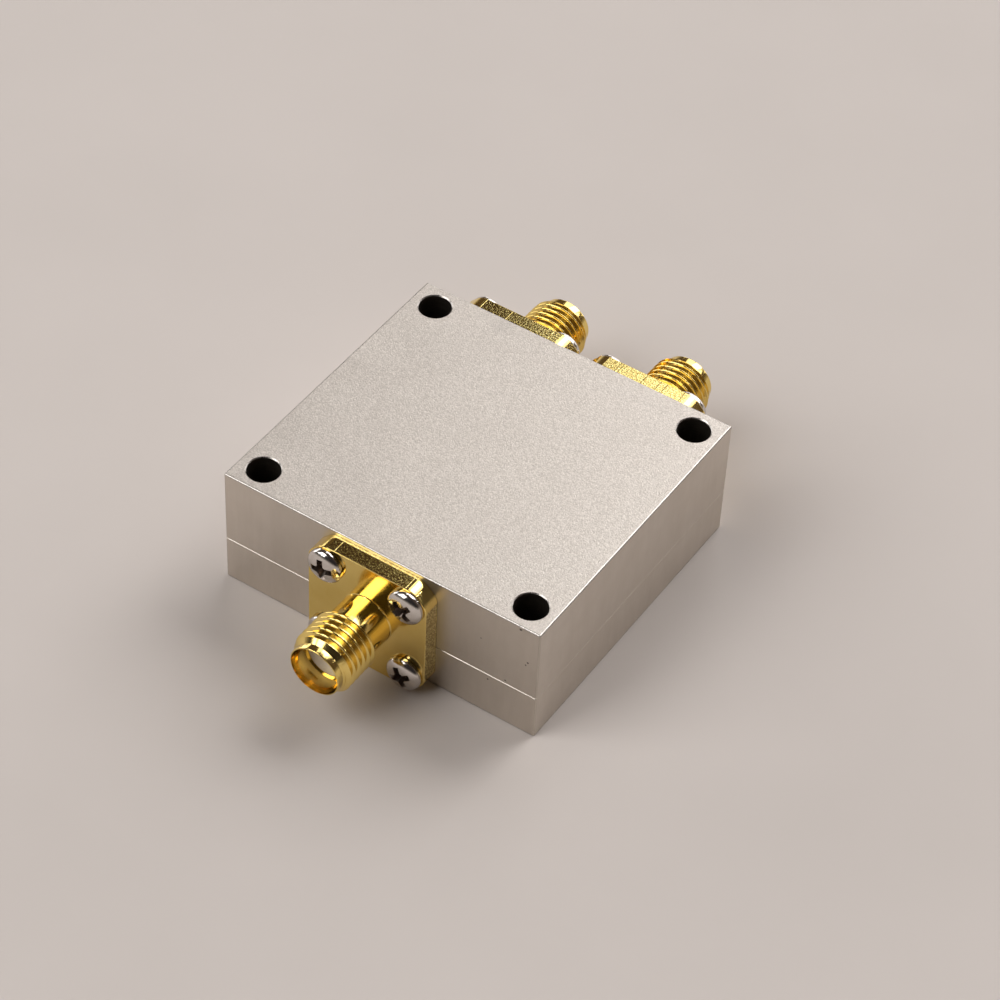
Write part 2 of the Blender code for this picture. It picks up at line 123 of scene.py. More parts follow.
# Centre contact
CONTACT_WALL = 0.175 * MM
CONTACT_BORE_DEPTH = 2.9 * MM
CONTACT_TIP = 0.08 * MM
FINGER_LENGTH = 1.4 * MM
FINGER_SQUEEZE = 0.03 * MM
SLOT_HALF_WIDTH = 0.1 * MM
SLOT_DEPTH = 2.2 * MM
TAIL_RADIUS = 0.5 * MM
TAIL_LENGTH = 1.6 * MM
CONTACT_SIDES = 64

# Screw
SCREW_SEAT = FLANGE_BACK - FLANGE_THICKNESS - FIT_GAP
HEAD_RADIUS = 1.8 * MM
HEAD_RIM = 0.28 * MM
HEAD_BREAK = 0.06 * MM
SHANK_RADIUS = 1.0 * MM
SHANK_TIP = 0.25 * MM
RECESS_SPAN = 2.5 * MM
RECESS_WIDTH = 0.66 * MM
RECESS_DEPTH = 0.85 * MM
RECESS_LEAD = 0.1 * MM
RECESS_SPAN_SHARE = 0.55
RECESS_WIDTH_SHARE = 0.7
HEART_RADIUS = 0.58 * MM
HEART_FLOOR_RADIUS = HEART_RADIUS / 3
HEART_DEPTH = 1.1 * RECESS_DEPTH
HEART_SIDES = 20
RECESS_INSIDE = 0.97
SCREW_SIDES = 48
DOME_RINGS = 10

# How far each screw's cross is turned, in degrees
SCREW_TURNS = {
    "input": (12, 62, 45, -9),
    "output_left": (31, 8, 55, 20),
    "output_right": (40, 70, 15, 62),
}

# How a face must lie to take a finish, as parts of its unit normal
LEVEL_NORMAL = 0.6
FLAT_NORMAL = 0.98
UPRIGHT_NORMAL = 0.15
HOLE_WALL_NORMAL = 0.5
CORNER_NORMAL = 0.1
STRAIGHT_NORMAL = 0.95
FLOOR_NORMAL = 0.9

# Marks on the lid's top: place and reach in millimetres, and how strong they are
TOP_MARKS = (((-7.66, 15.11, 13.2), 1.4, 0.15), ((16.95, -8.92, 13.2), 0.2, 0.8))

# Small dents on the sides and their edges: place and reach in millimetres
SIDE_NICKS = (
    ((15.0, -16.1, 12.8), 0.17), ((17.0, -16.1, 13.0), 0.15), ((15.9, -16.1, 9.1), 0.13),
    ((15.7, -16.1, 8.7), 0.11), ((17.0, -16.1, 5.2), 0.15), ((11.9, -16.1, 4.4), 0.14),
    ((13.7, -16.1, 5.4), 0.11), ((11.0, -16.1, 9.2), 0.09),
)
NICK_RAGGEDNESS = 0.12 * MM
SIDE_LINE_SHARE = 0.2
SIDE_NICK_SHARE = 4.0

# Cutter lines across the flanges' edges: places along X in millimetres
CUTTER_LINES = (-11.2, -8.3, -3.6, 4.05, 4.35, 6.9, 8.4, 9.1, 11.0)
CUTTER_LINE_REACH = 0.07 * MM

# Where a resistor's end caps start, and where they are fully tinned
CAP_START, CAP_FULL = 0.49 * MM, 0.51 * MM
WEAVE_SCALE = 420.0

# Camera
CAMERA_AZIMUTH = math.radians(31.5729)
CAMERA_ELEVATION = math.radians(45.0923)
CAMERA_ROLL = math.radians(3.0102)
CAMERA_DISTANCE = 294.304 * MM
CAMERA_TARGET = Vector((2.3085, 0.0, 8.0657)) * MM
CAMERA_LENS = 115.58
CAMERA_SENSOR = 36.0
CAMERA_CLIP = (0.01, 20.0)

# Lamps, as seen from the part: azimuth and elevation of the middle, width and height, all in
# degrees, and radiance
LAMPS = {
    "front_window_left_pane": (-129, 37, 18, 31, 4.1),
    "front_window_right_pane": (-153, 37, 18, 31, 4.1),
    "front_window_top": (-137, 60, 34, 14, 2.9),
    "back_window_left": (-15, 46, 20.8, 34, 2.2),
    "back_window_middle": (15, 44, 21.6, 38, 5.4),
    "back_window_right": (37, 42, 10, 30, 2.8),
    "back_wall": (0, 13, 70, 20, 2.0),
    "left_wall": (-80, 14, 50, 24, 2.2),
    "small_lamp": (50, 28, 3, 3, 14.0),
}
LAMP_DISTANCE = 3.0

# The room beyond the lamps: its colours, and where one gives way to another
ROOM_HORIZON = (0.42, 0.38, 0.34, 1)
ROOM_FRONT = (0.03, 0.026, 0.026, 1)
ROOM_BACK = (0.09, 0.064, 0.05, 1)
ROOM_RISE = (0.02, 0.22)
ROOM_DEPTH = (-0.3, 0.3)
FLOOR_SIZE = 6.0


def only(piece):
    """Selects one object alone and makes it the active one."""
    bpy.ops.object.select_all(action="DESELECT")
    piece.select_set(True)
    bpy.context.view_layer.objects.active = piece


def edit(piece):
    """Opens one object's mesh for editing."""
    only(piece)
    bpy.ops.object.mode_set(mode="EDIT")


def leave():
    """Closes the mesh that is being edited."""
    bpy.ops.object.mode_set(mode="OBJECT")


def pick(piece, kind, wanted):
    """In edit mode, selects just the vertices, edges or faces that pass a test."""
    bpy.ops.mesh.select_mode(type=kind)
    bpy.ops.mesh.select_all(action="DESELECT")
    mesh = bmesh.from_edit_mesh(piece.data)
    for part in {"VERT": mesh.verts, "EDGE": mesh.edges, "FACE": mesh.faces}[kind]:
        if wanted(part):
            part.select_set(True)
    mesh.select_flush_mode()
    bmesh.update_edit_mesh(piece.data)


def merge_close():
    """In edit mode, merges corners that lie in one place."""
    bpy.ops.mesh.select_all(action="SELECT")
    bpy.ops.mesh.remove_doubles(threshold=WELD)


def settle(piece):
    """Puts an object's place, turn and size into its mesh."""
    only(piece)
    bpy.ops.object.transform_apply(location=True, rotation=True, scale=True)


def face_outwards(piece):
    """Turns every face's normal outwards."""
    edit(piece)
    bpy.ops.mesh.select_all(action="SELECT")
    bpy.ops.mesh.normals_make_consistent(inside=False)
    leave()


def block(name, low, high):
    """A cube stretched between two corners, ready to be bevelled and cut."""
    low, high = Vector(low), Vector(high)
    bpy.ops.mesh.primitive_cube_add(size=1.0, location=(low + high) / 2, scale=high - low)
    piece = bpy.context.object
    piece.name = name
    settle(piece)
    return piece


def bevel(piece, width, segments, wanted):
    """Rounds the edges that pass a test."""
    edit(piece)
    pick(piece, "EDGE", wanted)
    bpy.ops.mesh.bevel(offset=width, offset_type="OFFSET", segments=segments, profile=0.5,
                       affect="EDGES")
    leave()


def turned(name, profile, centre, along="Y", sides=BARREL_SIDES):
    """Extrudes a disc from one (radius, station) to the next, as on a lathe."""
    centre = Vector(centre)
    unit = Vector((0.0, 1.0, 0.0)) if along == "Y" else Vector((0.0, 0.0, 1.0))
    tilt = (math.pi / 2, 0.0, 0.0) if along == "Y" else (0.0, 0.0, 0.0)
    radius, station = profile[0]
    bpy.ops.object.select_all(action="DESELECT")
    bpy.ops.mesh.primitive_circle_add(vertices=sides, radius=radius, fill_type="NGON",
                                      location=centre + station * unit, rotation=tilt)
    piece = bpy.context.object
    piece.name = name
    bpy.ops.object.mode_set(mode="EDIT")
    for next_radius, next_station in profile[1:]:
        step = (next_station - station) * unit
        bpy.ops.mesh.extrude_region_move(TRANSFORM_OT_translate={"value": step})
        if next_radius:
            share = next_radius / radius
            scale = (share, 1.0, share) if along == "Y" else (share, share, 1.0)
            bpy.ops.transform.resize(value=scale, orient_type="GLOBAL",
                                     center_override=centre + next_station * unit)
        else:
            bpy.ops.mesh.merge(type="CENTER")
        radius, station = next_radius, next_station
    bpy.ops.mesh.select_all(action="SELECT")
    bpy.ops.mesh.normals_make_consistent(inside=False)
    leave()
    settle(piece)
    return piece


def combine(piece, tool, operation="DIFFERENCE"):
    """Cuts a tool from a piece, or joins it on, and takes the tool away."""
    only(piece)
    modifier = piece.modifiers.new(operation.lower(), "BOOLEAN")
    modifier.operation = operation
    modifier.solver = "EXACT"
    modifier.object = tool
    bpy.ops.object.modifier_apply(modifier=modifier.name)
    bpy.data.objects.remove(tool)
    edit(piece)
    merge_close()
    bpy.ops.mesh.dissolve_degenerate(threshold=WELD)
    leave()


def cut(piece, *tools):
    """Cuts each tool from a piece in turn."""
    for tool in tools:
        combine(piece, tool)


def smooth(piece, angle=SMOOTH_ANGLE):
    """Smooth round faces, with the large flat ones kept flat."""
    only(piece)
    bpy.ops.object.shade_smooth_by_angle(angle=angle)
    modifier = piece.modifiers.new("weighted", "WEIGHTED_NORMAL")
    modifier.keep_sharp = True
    bpy.ops.object.modifier_apply(modifier=modifier.name)


def dress(piece, finish):
    """Gives a whole piece one finish."""
    piece.data.materials.clear()
    piece.data.materials.append(finish)


def paint_faces(piece, finish, wanted):
    """Gives the faces that pass a test a finish of their own."""
    piece.data.materials.append(finish)
    piece.active_material_index = len(piece.data.materials) - 1
    edit(piece)
    pick(piece, "FACE", wanted)
    bpy.ops.object.material_slot_assign()
    leave()


def hand_over(piece, name, slot, *replaced):
    """Names a finished piece, puts it on the body and hides the solids it stands for."""
    piece.name = name
    piece.data.name = name
    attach(piece, "root")
    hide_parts(*replaced)


def axis_of(node):
    """Where the axis of a socket or screw crosses the plane Y = 0."""
    low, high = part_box(node)
    return Vector(((low.x + high.x) / 2, 0.0, (low.z + high.z) / 2))


def port_facing(port):
    """The sign of the side of Y that a port faces."""
    return -1 if port == "input" else 1


# Finishes

def place(tree, kind, inputs=None, **settings):
    """Adds a node, sets it, and fills its inputs with numbers or other nodes' outputs."""
    node = tree.nodes.new(kind)
    for setting, value in settings.items():
        setattr(node, setting, value)
    for socket, value in (inputs or {}).items():
        if isinstance(value, bpy.types.NodeSocket):
            tree.links.new(value, node.inputs[socket])
        else:
            node.inputs[socket].default_value = value
    return node


def object_coordinates(tree):
    """The place on the object itself, in metres."""
    return tree.nodes.new("ShaderNodeTexCoord").outputs["Object"]


def maths(tree, operation, first, second=0.0):
    """Works out one sum."""
    return place(tree, "ShaderNodeMath", {0: first, 1: second}, operation=operation).outputs[0]


def stretched(tree, where, factors):
    """A place with each coordinate multiplied by its own factor."""
    return place(tree, "ShaderNodeVectorMath", {0: where, 1: factors},
                 operation="MULTIPLY").outputs[0]


def spread(tree, value, low, high, to_low=0.0, to_high=1.0):
    """Maps a value from one range to another and holds it there."""
    inputs = {"Value": value, "From Min": low, "From Max": high, "To Min": to_low,
              "To Max": to_high}
    return place(tree, "ShaderNodeMapRange", inputs).outputs["Result"]


def between(tree, share, low, high):
    """Maps a share from 0 to 1 onto a range."""
    return spread(tree, share, 0.0, 1.0, low, high)


def strongest(tree, masks):
    """The largest of several masks."""
    result = masks[0]
    for mask in masks[1:]:
        result = maths(tree, "MAXIMUM", result, mask)
    return result


def blend(tree, factor, first, second):
    """Mixes two colours."""
    return place(tree, "ShaderNodeMix", {0: factor, 6: first, 7: second},
                 data_type="RGBA").outputs[2]


def group(name, inputs, outputs):
    """An empty effect with named inputs and outputs."""
    tree = bpy.data.node_groups.new(name, "ShaderNodeTree")
    for socket, (kind, value) in inputs.items():
        made = tree.interface.new_socket(socket, in_out="INPUT", socket_type=kind)
        made.default_value = value
    for socket, kind in outputs.items():
        tree.interface.new_socket(socket, in_out="OUTPUT", socket_type=kind)
    start = tree.nodes.new("NodeGroupInput")
    end = tree.nodes.new("NodeGroupOutput")
    return tree, start.outputs, end.inputs


def use(tree, effect, inputs):
    """Puts a shared effect into a material, with its own values."""
    return place(tree, "ShaderNodeGroup", inputs, node_tree=effect).outputs


def use_grain(tree, grain, grain_size, cloud_size):
    """The shared grain, with its two sizes in millimetres."""
    return use(tree, grain, {"Grain Size": grain_size * MM, "Cloud Size": cloud_size * MM})


def use_nick(tree, nick, spot, reach):
    """The mask of one dent, with its place and reach in millimetres."""
    return use(tree, nick, {"Place": Vector(spot) * MM, "Reach": reach * MM})["Mask"]


def grain_effect():
    """Fine pits and bright grains, as shot beads leave them, over slow cloudy patches."""
    tree, given, result = group(
        "shot_grain",
        {"Grain Size": ("NodeSocketFloat", 0.15 * MM), "Cloud Size": ("NodeSocketFloat", 6 * MM)},
        {"Height": "NodeSocketFloat", "Speckle": "NodeSocketFloat", "Cloud": "NodeSocketFloat"})
    where = object_coordinates(tree)
    fine_scale = maths(tree, "DIVIDE", 1.0, given["Grain Size"])
    fine = place(tree, "ShaderNodeTexNoise",
                 {"Vector": where, "Scale": fine_scale, "Detail": 2.0, "Roughness": 0.6})
    pits = place(tree, "ShaderNodeTexVoronoi", {"Vector": where, "Scale": fine_scale},
                 feature="SMOOTH_F1")
    height = maths(tree, "ADD", fine.outputs["Fac"],
                   maths(tree, "MULTIPLY", pits.outputs["Distance"], 0.5))
    cloud = place(tree, "ShaderNodeTexNoise",
                  {"Vector": where, "Scale": maths(tree, "DIVIDE", 1.0, given["Cloud Size"]),
                   "Detail": 3.0, "Roughness": 0.55})
    tree.links.new(height, result["Height"])
    tree.links.new(spread(tree, fine.outputs["Fac"], 0.3, 0.7), result["Speckle"])
    tree.links.new(spread(tree, cloud.outputs["Fac"], 0.3, 0.7), result["Cloud"])
    return tree


def line_effect():
    """Fine tool lines: noise that is drawn out along the directions with a small scale."""
    tree, given, result = group(
        "tool_lines",
        {"Lines Per Metre": ("NodeSocketVector", (1.0, 1.0, 1.0))},
        {"Height": "NodeSocketFloat", "Streak": "NodeSocketFloat"})
    drawn = stretched(tree, object_coordinates(tree), given["Lines Per Metre"])
    lines = place(tree, "ShaderNodeTexNoise",
                  {"Vector": drawn, "Scale": 1.0, "Detail": 3.0, "Roughness": 0.7})
    tree.links.new(lines.outputs["Fac"], result["Height"])
    tree.links.new(spread(tree, lines.outputs["Fac"], 0.35, 0.65), result["Streak"])
    return tree


def nick_effect():
    """One small dent: 1 at its place and 0 from its reach outwards, with a ragged rim."""
    tree, given, result = group(
        "nick",
        {"Place": ("NodeSocketVector", (0.0, 0.0, 0.0)), "Reach": ("NodeSocketFloat", 0.2 * MM)},
        {"Mask": "NodeSocketFloat"})
    where = object_coordinates(tree)
    far = place(tree, "ShaderNodeVectorMath", {0: where, 1: given["Place"]},
                operation="DISTANCE").outputs["Value"]
    ragged = place(tree, "ShaderNodeTexNoise", {"Vector": where, "Scale": 1 / NICK_RAGGEDNESS})
    share = maths(tree, "DIVIDE", far, given["Reach"])
    share = maths(tree, "ADD", share, maths(tree, "SUBTRACT", ragged.outputs["Fac"], 0.5))
    tree.links.new(spread(tree, share, 0.35, 1.0, 1.0, 0.0), result["Mask"])
    return tree


def new_finish(name, metallic=1.0):
    """A material, its node tree and its shader."""
    finish = bpy.data.materials.new(name)
    finish.use_nodes = True
    shader = finish.node_tree.nodes["Principled BSDF"]
    shader.inputs["Metallic"].default_value = metallic
    return finish, finish.node_tree, shader


def bump(tree, shader, height, depth):
    """Raises the surface by a height, with a depth in metres."""
    node = place(tree, "ShaderNodeBump", {"Height": height, "Distance": depth, "Strength": 1.0})
    tree.links.new(node.outputs["Normal"], shader.inputs["Normal"])


def feed(tree, shader, socket, value):
    """Links a value to one of the shader's inputs."""
    tree.links.new(value, shader.inputs[socket])


def grained_metal(name, grain, sizes, dark, pale, roughness, depth):
    """Clouds between two colours, speckled roughness and fine pits, in millimetres."""
    finish, tree, shader = new_finish(name)
    look = use_grain(tree, grain, *sizes)
    feed(tree, shader, "Base Color", blend(tree, look["Cloud"], dark, pale))
    feed(tree, shader, "Roughness", between(tree, look["Speckle"], *roughness))
    bump(tree, shader, look["Height"], depth * MM)
    return finish


def blasted_aluminium(grain, nick):
    """Top of the lid and underside of the base: pale, satin and evenly pitted."""
    finish, tree, shader = new_finish("blasted_aluminium")
    look = use_grain(tree, grain, 0.13, 7)
    pale = blend(tree, look["Cloud"], (0.73, 0.675, 0.62, 1), (0.77, 0.715, 0.66, 1))
    colour = blend(tree, look["Speckle"], (0.49, 0.445, 0.40, 1), pale)
    for spot, reach, strength in TOP_MARKS:
        mask = use_nick(tree, nick, spot, reach)
        colour = blend(tree, maths(tree, "MULTIPLY", mask, strength), colour,
                       (0.30, 0.28, 0.27, 1))
    feed(tree, shader, "Base Color", colour)
    feed(tree, shader, "Roughness", between(tree, look["Cloud"], 0.46, 0.52))
    bump(tree, shader, look["Height"], 0.018 * MM)
    return finish


def milled_aluminium(grain, lines, nick):
    """The housing's sides: smoother, with faint upright mottling and a few small dents."""
    finish, tree, shader = new_finish("milled_aluminium")
    look = use_grain(tree, grain, 0.2, 3)
    marks = use(tree, lines, {"Lines Per Metre": (900.0, 900.0, 120.0)})
    colour = blend(tree, marks["Streak"], (0.66, 0.60, 0.53, 1), (0.69, 0.63, 0.56, 1))
    colour = blend(tree, between(tree, look["Cloud"], 0.0, 0.3), colour, (0.60, 0.54, 0.47, 1))
    dents = strongest(tree, [use_nick(tree, nick, *one) for one in SIDE_NICKS])
    colour = blend(tree, dents, colour, (0.10, 0.08, 0.07, 1))
    feed(tree, shader, "Base Color", colour)
    feed(tree, shader, "Roughness", between(tree, look["Cloud"], 0.36, 0.44))
    height = maths(tree, "SUBTRACT", maths(tree, "MULTIPLY", marks["Height"], SIDE_LINE_SHARE),
                   maths(tree, "MULTIPLY", dents, SIDE_NICK_SHARE))
    bump(tree, shader, height, 0.006 * MM)
    return finish


def eased_edge(grain):
    """The thin rounds between the top or underside and the sides, smoother than both."""
    return grained_metal("eased_edge", grain, (0.16, 2), (0.42, 0.39, 0.36, 1),
                         (0.50, 0.465, 0.43, 1), (0.24, 0.36), 0.01)


def eased_corner_painted_shade(grain):
    """The upright corners' rounds, coloured darker than the sides as painted shade that hides
    their highlight.
    """
    return grained_metal("eased_corner_painted_shade", grain, (0.2, 3), (0.50, 0.45, 0.39, 1),
                         (0.56, 0.51, 0.45, 1), (0.36, 0.44), 0.002)


def hole_wall_painted_shade():
    """Drilled walls of the corner holes, coloured dark as painted shade deep in the holes."""
    finish, tree, shader = new_finish("drilled_wall_painted_shade")
    shader.inputs["Roughness"].default_value = 0.35
    rings = stretched(tree, object_coordinates(tree), (300.0, 300.0, 9000.0))
    lines = place(tree, "ShaderNodeTexNoise", {"Vector": rings, "Scale": 1.0})
    # Painted shade: the walls are coloured dark, varied along fine drilling rings.
    feed(tree, shader, "Base Color",
         blend(tree, lines.outputs["Fac"], (0.22, 0.19, 0.16, 1), (0.38, 0.33, 0.28, 1)))
    bump(tree, shader, lines.outputs["Fac"], 0.01 * MM)
    return finish


def turned_gold(lines, grain):
    """Mirror plating over fine turning rings."""
    finish, tree, shader = new_finish("turned_gold")
    rings = use(tree, lines, {"Lines Per Metre": (60.0, 22000.0, 60.0)})
    look = use_grain(tree, grain, 0.3, 2.5)
    feed(tree, shader, "Base Color",
         blend(tree, look["Cloud"], (0.85, 0.63, 0.19, 1), (0.91, 0.69, 0.24, 1)))
    feed(tree, shader, "Roughness", between(tree, look["Cloud"], 0.10, 0.16))
    bump(tree, shader, rings["Height"], 0.0012 * MM)
    return finish


def milled_gold(lines, grain):
    """The flange's edges: the same plating over fine pits, with a few cutter lines across."""
    finish, tree, shader = new_finish("milled_gold")
    along = place(tree, "ShaderNodeSeparateXYZ", {0: object_coordinates(tree)}).outputs["X"]
    look = use_grain(tree, grain, 0.14, 1.5)
    across = use(tree, lines, {"Lines Per Metre": (2500.0, 60.0, 60.0)})
    ridges = []
    for spot in CUTTER_LINES:
        away = maths(tree, "ABSOLUTE", maths(tree, "SUBTRACT", along, spot * MM))
        ridges.append(spread(tree, away, 0.0, CUTTER_LINE_REACH, 1.0, 0.0))
    speck = spread(tree, look["Speckle"], 0.48, 0.72)
    feed(tree, shader, "Base Color",
         blend(tree, speck, (0.44, 0.32, 0.095, 1), (1.0, 0.85, 0.36, 1)))
    feed(tree, shader, "Roughness", between(tree, look["Speckle"], 0.06, 0.12))
    fine_lines = maths(tree, "MULTIPLY", across["Height"], 0.4)
    height = maths(tree, "ADD", look["Height"],
                   maths(tree, "ADD", fine_lines, strongest(tree, ridges)))
    bump(tree, shader, height, 0.005 * MM)
    return finish


def polished_nickel(grain):
    """The screws' plating."""
    return grained_metal("polished_nickel", grain, (0.25, 0.9), (0.60, 0.55, 0.51, 1),
                         (0.70, 0.66, 0.62, 1), (0.10, 0.18), 0.001)


def recess_nickel_painted_shade(grain):
    """The cross's walls, coloured dark as painted shade in the recess, and rougher than the head.
    """
    return grained_metal("recess_nickel_painted_shade", grain, (0.1, 0.6), (0.22, 0.17, 0.14, 1),
                         (0.36, 0.30, 0.26, 1), (0.26, 0.40), 0.003)


def sleeve_painted_shade(lines, grain):
    """Turned fluoropolymer, slightly waxy, coloured tan and darker than its white as painted
    shade and painted gold-tinted light deep in the socket.
    """
    finish, tree, shader = new_finish("sleeve_painted_shade", 0.0)
    rings = use(tree, lines, {"Lines Per Metre": (2500.0, 9000.0, 2500.0)})
    look = use_grain(tree, grain, 0.1, 1.0)
    # Painted shade and painted gold-tinted light: the sleeve's colour is tan and darker than
    # white.
    feed(tree, shader, "Base Color",
         blend(tree, look["Cloud"], (0.62, 0.55, 0.45, 1), (0.74, 0.67, 0.57, 1)))
    feed(tree, shader, "Roughness", between(tree, look["Speckle"], 0.40, 0.52))
    shader.inputs["Subsurface Weight"].default_value = 0.15
    shader.inputs["Subsurface Radius"].default_value = (0.4 * MM, 0.35 * MM, 0.3 * MM)
    bump(tree, shader, rings["Height"], 0.004 * MM)
    return finish


def laminate(grain):
    """Bare low-loss board: pale, with a faint glass weave."""
    finish, tree, shader = new_finish("laminate", 0.0)
    where = object_coordinates(tree)
    look = use_grain(tree, grain, 0.12, 4)
    weave, weft = [
        place(tree, "ShaderNodeTexWave",
              {"Vector": where, "Scale": WEAVE_SCALE, "Distortion": 0.4},
              bands_direction=direction).outputs["Fac"]
        for direction in ("X", "Y")]
    cloth = maths(tree, "MULTIPLY", weave, weft)
    colour = blend(tree, cloth, (0.55, 0.53, 0.42, 1), (0.66, 0.64, 0.53, 1))
    colour = blend(tree, between(tree, look["Cloud"], 0.0, 0.25), colour, (0.50, 0.47, 0.36, 1))
    feed(tree, shader, "Base Color", colour)
    feed(tree, shader, "Roughness", between(tree, look["Speckle"], 0.5, 0.62))
    bump(tree, shader, cloth, 0.01 * MM)
    return finish


def plated_line(grain):
    """Gold flash over etched copper."""
    return grained_metal("plated_line", grain, (0.08, 1.2), (0.86, 0.62, 0.24, 1),
                         (0.93, 0.72, 0.32, 1), (0.28, 0.40), 0.004)


def chip(grain):
    """Resistor: black glazed body between tinned end caps."""
    finish, tree, shader = new_finish("chip", 0.0)
    along = place(tree, "ShaderNodeSeparateXYZ", {0: object_coordinates(tree)}).outputs["X"]
    cap = spread(tree, maths(tree, "ABSOLUTE", along), CAP_START, CAP_FULL)
    look = use_grain(tree, grain, 0.06, 0.5)
    tin = blend(tree, look["Cloud"], (0.62, 0.61, 0.59, 1), (0.74, 0.73, 0.71, 1))
    feed(tree, shader, "Base Color", blend(tree, cap, (0.025, 0.025, 0.028, 1), tin))
    feed(tree, shader, "Metallic", cap)
    feed(tree, shader, "Roughness", between(tree, look["Speckle"], 0.28, 0.42))
    bump(tree, shader, look["Height"], 0.003 * MM)
    return finish


def floor_paper():
    """Plain pale sheet under the part, with a faint unevenness."""
    finish, tree, shader = new_finish("floor_paper", 0.0)
    uneven = place(tree, "ShaderNodeTexNoise",
                   {"Vector": object_coordinates(tree), "Scale": 45.0, "Detail": 4.0})
    feed(tree, shader, "Base Color",
         blend(tree, spread(tree, uneven.outputs["Fac"], 0.3, 0.7),
               (0.585, 0.530, 0.494, 1), (0.603, 0.546, 0.510, 1)))
    shader.inputs["Roughness"].default_value = 0.8
    shader.inputs["Specular IOR Level"].default_value = 0.2
    return finish


# Housing

def corner_holes(low, high, mouth):
    """Drills for the four corner holes, wider where they leave the housing."""
    wide = HOLE_RADIUS + HOLE_BREAK
    if mouth == high:
        profile = [(HOLE_RADIUS, low - OVERRUN), (HOLE_RADIUS, high - HOLE_BREAK), (wide, high),
                   (wide, high + OVERRUN)]
    else:
        profile = [(wide, low - OVERRUN), (wide, low), (HOLE_RADIUS, low + HOLE_BREAK),
                   (HOLE_RADIUS, high + OVERRUN)]
    return [turned("drill", profile, (side_x * HOLE_X, side_y * HOLE_Y, 0.0), "Z", HOLE_SIDES)
            for side_x in (-1, 1) for side_y in (-1, 1)]


def wall_drills(screw_numbers):
    """Contact bores through the end walls, and tapped holes for these screws of each port."""
    drills = []
    wall_face = LID_HIGH.y
    for port in PORTS:
        facing = port_facing(port)
        centre = (axis_of(f"{port}_shell").x, 0.0, AXIS_HEIGHT)
        start, end = facing * (wall_face + OVERRUN), facing * (CAVITY_HALF_DEPTH - OVERRUN)
        drills.append(turned("bore", [(WALL_BORE_RADIUS, start), (WALL_BORE_RADIUS, end)],
                             centre))
        bottom = facing * (wall_face - TAPPED_DEPTH)
        point = facing * (wall_face - TAPPED_DEPTH - TAPPED_RADIUS / 2)
        tap = [(TAPPED_RADIUS, start), (TAPPED_RADIUS, bottom), (0.0, point)]
        for number in screw_numbers[port]:
            drills.append(turned("tap", tap, axis_of(f"{port}_screw_{number}"),
                                 sides=SCREW_SIDES))
    return drills


def housing_half(name, node, seam, seam_round, screw_numbers, finishes, extra=()):
    """One half of the housing: a block with broken edges, drilled and milled."""
    blasted, milled, drilled, edge, corner = finishes
    low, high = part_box(node)
    half = block(name, low, high)
    mouth = high.z if seam < high.z - WELD else low.z
    outward = 1 if mouth == high.z else -1

    def on_seam(edge):
        return all(abs(vert.co.z - seam) < WELD for vert in edge.verts)

    def on_top(face):
        return face.normal.z * outward > LEVEL_NORMAL

    def in_corner_hole(face):
        middle = face.calc_center_median()
        across = math.hypot(abs(middle.x) - HOLE_X, abs(middle.y) - HOLE_Y)
        return across < HOLE_RADIUS + HOLE_BREAK / 2 and abs(face.normal.z) < HOLE_WALL_NORMAL

    def on_edge_round(face):
        sloping = UPRIGHT_NORMAL < face.normal.z * outward < FLAT_NORMAL
        return sloping and abs(face.calc_center_median().z - mouth) < EDGE_ROUND

    def on_corner_round(face):
        upright = abs(face.normal.z) < UPRIGHT_NORMAL
        aslant = min(abs(face.normal.x), abs(face.normal.y)) > CORNER_NORMAL
        return upright and aslant and abs(face.calc_center_median().x) > LID_HIGH.x - EDGE_ROUND

    bevel(half, EDGE_ROUND, ROUND_SEGMENTS, lambda edge: not on_seam(edge))
    bevel(half, seam_round, ROUND_SEGMENTS, on_seam)
    cut(half, *corner_holes(low.z, high.z, mouth), *wall_drills(screw_numbers), *extra)
    face_outwards(half)
    dress(half, milled)
    paint_faces(half, blasted, on_top)
    # The corner holes' walls take painted shade.
    paint_faces(half, drilled, in_corner_hole)
    paint_faces(half, edge, on_edge_round)
    # Painted shade: the upright corners' rounds take a darker tone that hides their highlight.
    paint_faces(half, corner, on_corner_round)
    smooth(half)
    hand_over(half, name, "blasted_aluminium", node)


def cavity():
    """The pocket that is milled into the lid above the board."""
    seam = LID_LOW.z
    pocket = block("cavity", (-CAVITY_HALF_WIDTH, -CAVITY_HALF_DEPTH, seam - OVERRUN),
                   (CAVITY_HALF_WIDTH, CAVITY_HALF_DEPTH, seam + CAVITY_HEIGHT))
    bevel(pocket, CAVITY_CORNER, CAVITY_CORNER_SEGMENTS,
          lambda edge: abs(edge.verts[0].co.z - edge.verts[1].co.z) > OVERRUN)
    return pocket


# Flanged sockets

def station(height):
    """A place along Y, from its height above the back of the input flange."""
    return FLANGE_BACK - height


def barrel_blank():
    """The barrel before its thread is cut, from inside the flange to the rim."""
    rim = FLANGE_BACK - RIM
    front = FLANGE_THICKNESS
    thread_start = front + NECK_LENGTH
    thread_end = thread_start + THREAD_LENGTH
    nose_start = thread_end + THREAD_LEAD
    belly = NECK_FILLET_BELLY * NECK_FILLET
    profile = [(NECK_RADIUS + NECK_FILLET, front / 2), (NECK_RADIUS + NECK_FILLET, front),
               (NECK_RADIUS + belly, front + belly), (NECK_RADIUS, front + NECK_FILLET),
               (NECK_RADIUS, thread_start), (THREAD_RADIUS, thread_start + THREAD_RUNOUT),
               (THREAD_RADIUS, thread_end), (NOSE_RADIUS, nose_start)]
    for step in range(NOSE_ROUND_STEPS + 1):
        angle = math.pi / 2 * step / NOSE_ROUND_STEPS
        profile.append((NOSE_RADIUS - NOSE_ROUND * (1 - math.cos(angle)),
                        rim - NOSE_ROUND * (1 - math.sin(angle))))
    return turned("barrel", [(radius, station(height)) for radius, height in profile],
                  (0.0, 0.0, AXIS_HEIGHT))


